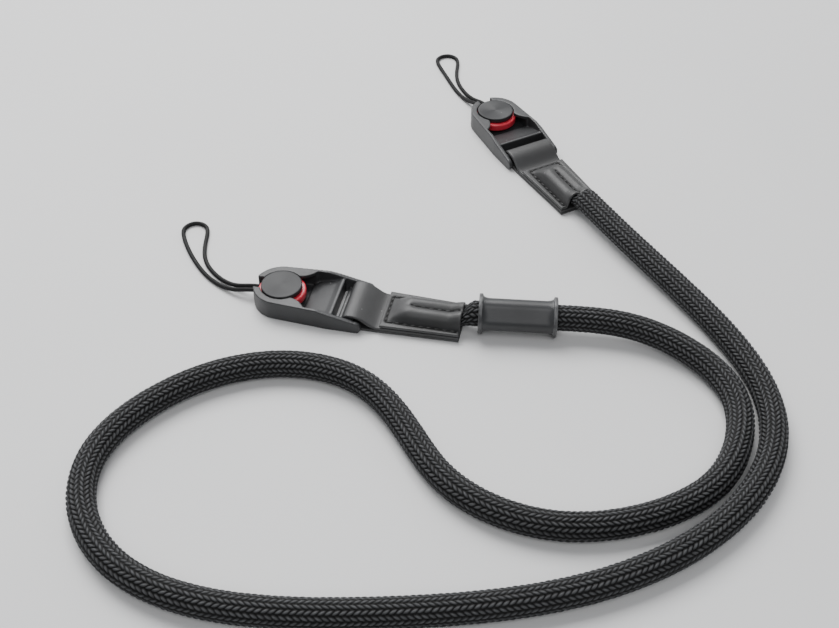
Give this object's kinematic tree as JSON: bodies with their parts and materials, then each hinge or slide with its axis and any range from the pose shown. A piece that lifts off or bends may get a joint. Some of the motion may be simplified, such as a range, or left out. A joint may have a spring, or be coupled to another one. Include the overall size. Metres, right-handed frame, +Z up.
{
  "type": "camera neck strap",
  "caption": "Round braided rope neck strap with a stitched leather tab, quick-release connector and corded anchor at each end, and a flanged keeper on the rope.",
  "frame": {"origin": "under the axis of the left connector's disc, on the underside of its housing", "axes": "+Z up, square to the disc; +X to the right along the rope's first stretch as the strap lies, +Y away from the viewer"},
  "size_m": [0.2661, 0.3647, 0.0168],
  "materials": {
    "braid": "black round braid, herringbone stitches with a soft satin glint",
    "leather": "black smooth leather, semi-gloss, fine grain, cut edges",
    "housing": "dark grey moulded plastic, fine matte texture",
    "anchor_disc": "dark grey satin plastic with a faint turned sheen",
    "anchor_red": "coral red smooth plastic",
    "thin_cord": "black fine-braided thin cord",
    "keeper": "dark grey satin coating with bright worn rims"
  },
  "bodies": {
    "strap": {"rope": "braid", "left_rope_end": "braid", "right_rope_end": "braid", "left_tab_strap": "leather", "right_tab_strap": "leather", "left_tab_sleeve": "leather", "right_tab_sleeve": "leather", "left_housing": "housing", "right_housing": "housing", "left_anchor_base": "anchor_red", "right_anchor_base": "anchor_red", "left_anchor_cap": "anchor_disc", "right_anchor_cap": "anchor_disc", "left_anchor_cord": "thin_cord", "right_anchor_cord": "thin_cord"},
    "slider": {"slider": "keeper"}
  },
  "joints": [
    {"name": "slider", "type": "slide", "parent": "strap", "child": "slider", "axis": [0.9968, -0.08, 0], "range_m": [0, 0.012]}
  ]
}
